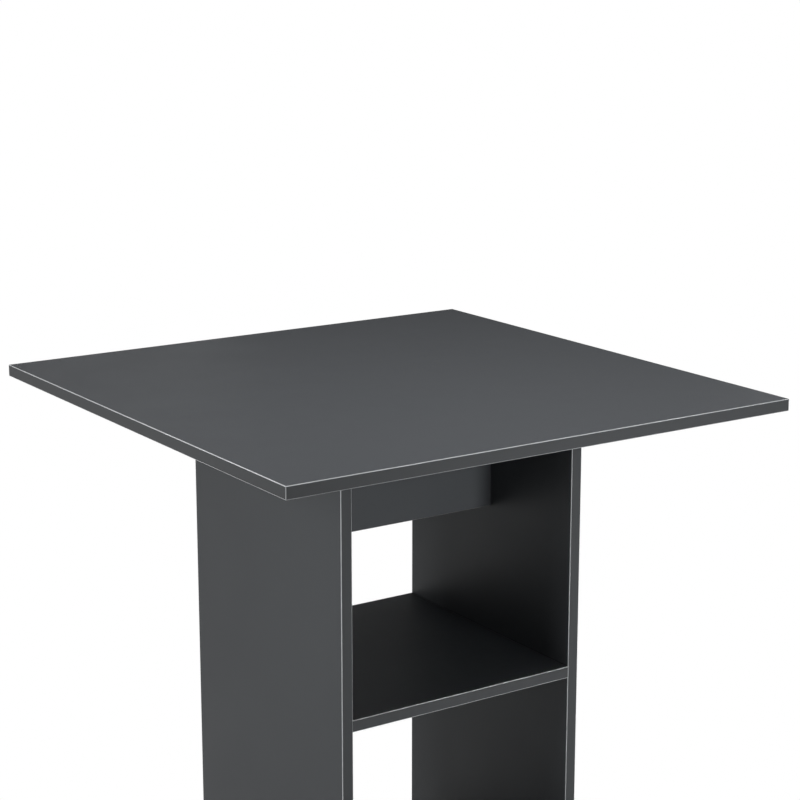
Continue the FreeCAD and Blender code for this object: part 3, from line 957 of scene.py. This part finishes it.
@dataclass(frozen=True)
class TableTop:
    """The square top and its four bands. Front and back run its whole width and have rounded ends."""

    half_mm: float = 350.0
    lower_mm: float = 1085.0
    upper_mm: float = 1100.0

    def build(self) -> None:
        """Finishes the top."""
        width = Slab(Axis.X, -self.half_mm, self.half_mm)
        depth = Slab(Axis.Y, -self.half_mm, self.half_mm)
        height = Slab(Axis.Z, self.lower_mm, self.upper_mm)
        bands = [
            # Front and back, and left and right, each get their own arris tone, set for their painted
            # highlight.
            Band("top_band_" + end, (depth, height, width), Axis.X, ScrapeAndHighlight.LIGHT) for end in ("front", "back")
        ]
        bands += [Band("top_band_" + end, (width, height), Axis.Y, ScrapeAndHighlight.DEEP) for end in ("left", "right")]
        Board("table_top", height, tuple(bands)).dress()


@dataclass(frozen=True)
class Column:
    """The two side boards with the cams that pull the top down on them."""

    half_depth_mm: float = 175.0
    inner_mm: float = 160.0
    outer_mm: float = 175.0
    foot_mm: float = 5.0
    head_mm: float = 1085.0
    cam_row_mm: float = 138.0
    dowel_row_mm: float = 106.0

    def build(self) -> None:
        """Finishes the side boards and makes their fittings."""
        middle = (self.foot_mm + self.head_mm) / 2
        depth = Slab(Axis.Y, -self.half_depth_mm, self.half_depth_mm)
        for name, side in (("side_left", -1), ("side_right", 1)):
            lower, upper = sorted((side * self.inner_mm, side * self.outer_mm))
            faces = Slab(Axis.X, lower, upper)
            bands = tuple(Band(f"{name}_band_{end}", (depth, faces), Axis.Z) for end in ("front", "back"))
            Board(name, faces, bands).dress()
            JointFittings(
                Joint(
                    name,
                    Axis.Z.vector(),
                    -side * Axis.Y.vector(),
                    ((lower + upper) / 2, 0.0, middle),
                    self.head_mm - middle,
                    self.cam_row_mm,
                    self.dowel_row_mm,
                    both_ends=False,
                )
            ).build()


@dataclass(frozen=True)
class Shelves:
    """The two shelves and the bottom board, each held by cams in its underside."""

    half_width_mm: float = 160.0
    half_depth_mm: float = 175.0
    thickness_mm: float = 15.0
    cam_row_mm: float = 138.0
    dowel_row_mm: float = 106.0
    undersides_mm: tuple[tuple[str, float], ...] = (
        ("upper_shelf", 730.0),
        ("lower_shelf", 375.0),
        ("bottom_board", 20.0),
    )

    def build(self) -> None:
        """Finishes the shelves and makes their fittings."""
        depth = Slab(Axis.Y, -self.half_depth_mm, self.half_depth_mm)
        for name, lower in self.undersides_mm:
            faces = Slab(Axis.Z, lower, lower + self.thickness_mm)
            # The shelves' bands take the brightest arris tone, partly a painted highlight.
            bands = tuple(
                Band(f"{name}_band_{end}", (depth, faces), Axis.X, ScrapeAndHighlight.DEEP) for end in ("front", "back")
            )
            Board(name, faces, bands).dress()
            JointFittings(
                Joint(
                    name,
                    Axis.X.vector(),
                    Axis.Y.vector(),
                    (0.0, 0.0, lower + self.thickness_mm / 2),
                    self.half_width_mm,
                    self.cam_row_mm,
                    self.dowel_row_mm,
                    both_ends=True,
                )
            ).build()


@dataclass(frozen=True)
class Rail:
    """The upright rail under the top, with its cams in the rear face and two dowels up into the top."""

    half_width_mm: float = 160.0
    front_mm: float = -7.5
    back_mm: float = 7.5
    foot_mm: float = 915.0
    head_mm: float = 1085.0
    cam_row_mm: float = 48.0
    top_dowel_row_mm: float = 96.0
    dowel: FlutedDowel = FlutedDowel()

    def build(self) -> None:
        """Finishes the rail and makes its fittings."""
        faces = Slab(Axis.Y, self.front_mm, self.back_mm)
        height = Slab(Axis.Z, self.foot_mm, self.head_mm)
        # The rail's bottom band takes the faintest arris tone, partly a painted highlight.
        Board("rail", faces, (Band("rail_band_bottom", (height, faces), Axis.X, ScrapeAndHighlight.FAINT),)).dress()
        middle = (self.foot_mm + self.head_mm) / 2
        JointFittings(
            Joint(
                "rail",
                Axis.X.vector(),
                Axis.Z.vector(),
                (0.0, 0.0, middle),
                self.half_width_mm,
                self.cam_row_mm,
                0.0,
                both_ends=True,
            )
        ).build()
        upright = Joint(
            "rail_top",
            Axis.Z.vector(),
            Axis.X.vector(),
            (0.0, 0.0, self.head_mm),
            0.0,
            self.cam_row_mm,
            self.top_dowel_row_mm,
            both_ends=False,
        )
        mesh = bmesh.new()
        for at in upright.places(upright.dowel_row_mm):
            self.dowel.build(mesh, at)
        beech = BeechDowel("beech_rail_top", Axis.Z)
        place_piece(mesh, "rail_top_dowels_detailed", "rail_top_dowels", beech)


@dataclass(frozen=True)
class Feet:
    """Moulded glides nailed under the side boards."""

    x_mm: float = 167.5
    y_mm: float = 130.0
    glide_radius_mm: float = 7.0
    glide_height_mm: float = 5.0
    glide_rounding_mm: float = 1.2
    glide_chamfer_mm: float = 0.2
    well_radius_mm: float = 3.2
    well_depth_mm: float = 2.0
    well_chamfer_mm: float = 0.3
    nail_bore_radius_mm: float = 0.95
    nail_head_mm: float = 0.8
    nail_head_radius_mm: float = 2.7
    nail_head_chamfer_mm: float = 0.3
    nail_radius_mm: float = 0.9
    nail_tip_mm: float = 17.0
    nail_point_mm: float = 2.0
    ring_mm: float = 0.8
    ring_depth_mm: float = 0.12
    # The share of a ring's length that its steep side takes.
    ring_slope: float = 0.25
    rings: int = 9
    glide_steps: int = 48
    nail_steps: int = 24
    rounding_steps: int = 5

    def build(self) -> None:
        """Makes the glides and nails."""
        upright = Matrix.Rotation(-QUARTER_TURN, 4, "Y")
        glides, nails = bmesh.new(), bmesh.new()
        for x in (-self.x_mm, self.x_mm):
            for y in (-self.y_mm, self.y_mm):
                at = Matrix.Translation((x * MM, y * MM, 0.0)) @ upright
                turn(glides, self.glide_profile(), at, self.glide_steps, closed=True)
                turn(nails, self.nail_profile(), at, self.nail_steps)
        place_piece(glides, "foot_glides_detailed", "foot_glides", MOULDED_GLIDE)
        place_piece(nails, "glide_nails_detailed", "glide_nails", NAIL_STEEL)

    def glide_profile(self) -> list[tuple[float, float]]:
        """Draws the glide's section: a rounded foot, a straight wall and a stepped bore.

        Returns:
            Points as a height and a radius, in millimetres.
        """
        return [
            (0.0, self.well_radius_mm + self.well_chamfer_mm),
            *rounded_rim(0.0, self.glide_radius_mm, self.glide_rounding_mm, self.rounding_steps),
            (self.glide_height_mm - self.glide_chamfer_mm, self.glide_radius_mm),
            (self.glide_height_mm, self.glide_radius_mm - self.glide_chamfer_mm),
            (self.glide_height_mm, self.nail_bore_radius_mm),
            (self.well_depth_mm, self.nail_bore_radius_mm),
            (self.well_depth_mm, self.well_radius_mm),
            (self.well_chamfer_mm, self.well_radius_mm),
        ]

    def nail_profile(self) -> list[tuple[float, float]]:
        """Draws the nail's section: a flat head, a ringed shank and a point.

        Returns:
            Points as a height and a radius, in millimetres.
        """
        points = [
            (self.nail_head_mm, 0.0),
            (self.nail_head_mm, self.nail_head_radius_mm - self.nail_head_chamfer_mm),
            (self.nail_head_mm + self.nail_head_chamfer_mm, self.nail_head_radius_mm),
            (self.well_depth_mm, self.nail_head_radius_mm),
            (self.well_depth_mm, self.nail_radius_mm),
        ]
        ringed_from = self.nail_tip_mm - self.nail_point_mm - self.rings * self.ring_mm
        for ring in range(self.rings):
            start = ringed_from + ring * self.ring_mm
            points.append((start, self.nail_radius_mm))
            points.append((start + self.ring_slope * self.ring_mm, self.nail_radius_mm - self.ring_depth_mm))
        return points + [
            (self.nail_tip_mm - self.nail_point_mm, self.nail_radius_mm),
            (self.nail_tip_mm, 0.0),
        ]


# Studio


@dataclass(frozen=True)
class Softbox:
    """A square soft light that faces the table. A grid on its front narrows its beam."""

    name: str
    place: tuple[float, float, float]
    size: float
    power: float
    aim: tuple[float, float, float] = (0.0, 0.0, 0.9)
    beam_degrees: float = 180.0

    def build(self) -> None:
        """Hangs the light."""
        data = bpy.data.lights.new(self.name, "AREA")
        data.shape = "SQUARE"
        data.size = self.size
        data.energy = self.power
        data.spread = math.radians(self.beam_degrees)
        lamp = bpy.data.objects.new(self.name, data)
        lamp.location = self.place
        lamp.rotation_euler = (Vector(self.aim) - Vector(self.place)).to_track_quat("-Z", "Y").to_euler()
        lamp.visible_camera = False
        bpy.context.scene.collection.objects.link(lamp)
        log.info("%s shines with %.1f W", self.name, self.power)


@dataclass(frozen=True)
class Studio:
    """A plain pale floor that turns white away from the table, soft lights, and the photographer's camera."""

    floor_radius: float = 60.0
    floor_segments: int = 96
    # The floor lies a hair under the glides' soles, so that no two surfaces share a plane.
    floor_drop: float = 0.0002
    floor_tone: str = "#d2d2d2"
    # Near the table the floor is this much white and the rest paint, which takes the shadow. Further out it
    # is all white.
    near_white: float = 0.5
    shadow_radius: float = 0.6
    white_radius: float = 1.15
    # The room's own light comes from a soft band about this high, as the sine of its elevation.
    band_height: float = 0.3
    band_reach: float = 0.22
    band_strength: float = 0.3
    room_strength: float = 0.02
    gloss_horizon: float = 0.05
    camera_place: tuple[float, float, float] = (-1.3571, -2.0645, 1.6558)
    camera_yaw: float = 33.766
    camera_pitch: float = 13.213
    camera_lens: float = 91.647
    softboxes: tuple[Softbox, ...] = (
        Softbox("front_softbox", (0.0, -3.4, 1.6), 1.2, 11.0),
        Softbox("front_grid_softbox", (0.3, -2.2, 0.95), 0.4, 1.03, (0.14, -0.17, 0.86), beam_degrees=40.0),
        Softbox("left_softbox", (-3.2, 0.2, 1.9), 1.6, 34.2),
        Softbox("left_grid_softbox", (-2.0, -0.1, 1.0), 0.35, 0.11, (-0.17, -0.2, 0.92), beam_degrees=24.0),
        Softbox("overhead_softbox", (0.05, -0.5, 2.2), 0.7, 13.5),
        Softbox("high_left_softbox", (-0.5, -0.1, 2.6), 1.0, 5.0),
        Softbox("right_softbox", (2.9, 1.3, 0.8), 1.3, 32.0),
        Softbox("low_back_softbox", (0.9, 3.2, 0.7), 1.2, 17.0),
    )

    def build(self) -> None:
        """Makes the whole set."""
        self.build_floor()
        self.build_world()
        for softbox in self.softboxes:
            softbox.build()
        self.build_camera()
        bpy.context.scene.view_settings.view_transform = "Standard"

    @staticmethod
    def background_rays(tree: bpy.types.NodeTree, gloss: object) -> Socket:
        """Tells which rays show the white background: to the camera, through glass and in gloss.

        Args:
            tree: The node tree.
            gloss: How much of it glossy rays show, a number or a socket.

        Returns:
            From 0 to 1.
        """
        rays = add_node(tree, "ShaderNodeLightPath").outputs
        glossy = calculate(tree, "MULTIPLY", rays["Is Glossy Ray"], gloss)
        seen = calculate(tree, "MAXIMUM", rays["Is Camera Ray"], rays["Is Transmission Ray"])
        return calculate(tree, "MAXIMUM", seen, glossy)

    def build_floor(self) -> None:
        """Lays a round floor: pale paint that takes the shadow near the table, and white further out."""
        mesh = bmesh.new()
        drop = Matrix.Translation((0.0, 0.0, -self.floor_drop))
        bmesh.ops.create_circle(
            mesh, cap_ends=True, segments=self.floor_segments, radius=self.floor_radius, matrix=drop
        )
        data = bpy.data.meshes.new("studio_floor")
        mesh.to_mesh(data)
        mesh.free()
        material = bpy.data.materials.new("studio_floor_paint")
        material.use_nodes = True
        tree = material.node_tree
        tree.nodes.clear()
        place = add_node(tree, "ShaderNodeTexCoord").outputs["Object"]
        length = add_node(tree, "ShaderNodeVectorMath", {"operation": "LENGTH"}, {0: place})
        near, far = (self.shadow_radius, self.near_white), (self.white_radius, 1.0)
        whiteness = ramp(tree, length.outputs["Value"], near, far, smooth=True)
        white = calculate(tree, "MULTIPLY", whiteness, self.background_rays(tree, 1.0))
        paint = add_node(tree, "ShaderNodeBsdfDiffuse", {}, {"Color": linear(self.floor_tone)}).outputs[0]
        glow = add_node(tree, "ShaderNodeEmission", {}, {"Strength": 1.0}).outputs[0]
        above = add_node(tree, "ShaderNodeMixShader", {}, {0: white, 1: paint, 2: glow}).outputs[0]
        # From below the floor lets the light through, so that the underside of the table can be looked at.
        from_below = add_node(tree, "ShaderNodeNewGeometry").outputs["Backfacing"]
        clear = add_node(tree, "ShaderNodeBsdfTransparent", {}, {"Color": WHITE}).outputs[0]
        surface = add_node(tree, "ShaderNodeMixShader", {}, {0: from_below, 1: above, 2: clear}).outputs[0]
        add_node(tree, "ShaderNodeOutputMaterial", {}, {"Surface": surface})
        data.materials.append(material)
        floor = bpy.data.objects.new("studio_floor", data)
        bpy.context.scene.collection.objects.link(floor)
        log.info("the floor is laid")

    def build_world(self) -> None:
        """Surrounds the set with dim light in a soft band, and shows it as white.

        Gloss shows the white at the horizon only. A wholly white room would wash out the satin top, which
        the camera sees at a low angle.
        """
        world = bpy.data.worlds.new("studio_world")
        bpy.context.scene.world = world
        world.use_nodes = True
        tree = world.node_tree
        tree.nodes.clear()
        direction = add_node(tree, "ShaderNodeTexCoord").outputs["Generated"]
        height = add_node(tree, "ShaderNodeSeparateXYZ", {}, {0: direction}).outputs["Z"]
        from_band = calculate(tree, "ABSOLUTE", calculate(tree, "SUBTRACT", height, self.band_height))
        strength = ramp(tree, from_band, (0.0, self.band_strength), (self.band_reach, self.room_strength))
        room, white = (
            add_node(tree, "ShaderNodeBackground", {}, {"Color": WHITE, "Strength": level}).outputs[0]
            for level in (strength, 1.0)
        )
        at_horizon = ramp(tree, height, (0.0, 1.0), (self.gloss_horizon, 0.0))
        seen = self.background_rays(tree, at_horizon)
        surface = add_node(tree, "ShaderNodeMixShader", {}, {0: seen, 1: room, 2: white}).outputs[0]
        add_node(tree, "ShaderNodeOutputWorld", {}, {"Surface": surface})

    def build_camera(self) -> None:
        """Stands the camera where the photograph was taken."""
        data = bpy.data.cameras.new("photographers_camera")
        data.lens = self.camera_lens
        camera = bpy.data.objects.new("photographers_camera", data)
        camera.location = self.camera_place
        camera.rotation_euler = (
            math.radians(90.0 - self.camera_pitch),
            0.0,
            math.radians(-self.camera_yaw),
        )
        bpy.context.scene.collection.objects.link(camera)
        bpy.context.scene.camera = camera


def main() -> None:
    """Builds the table's parts in order, then the studio."""
    logging.basicConfig(level=logging.INFO, format="%(name)s: %(message)s")
    for part in (TableTop(), Column(), Shelves(), Rail(), Feet(), Studio()):
        log.info("building %s", type(part).__name__)
        part.build()


if __name__ == "__main__":
    main()
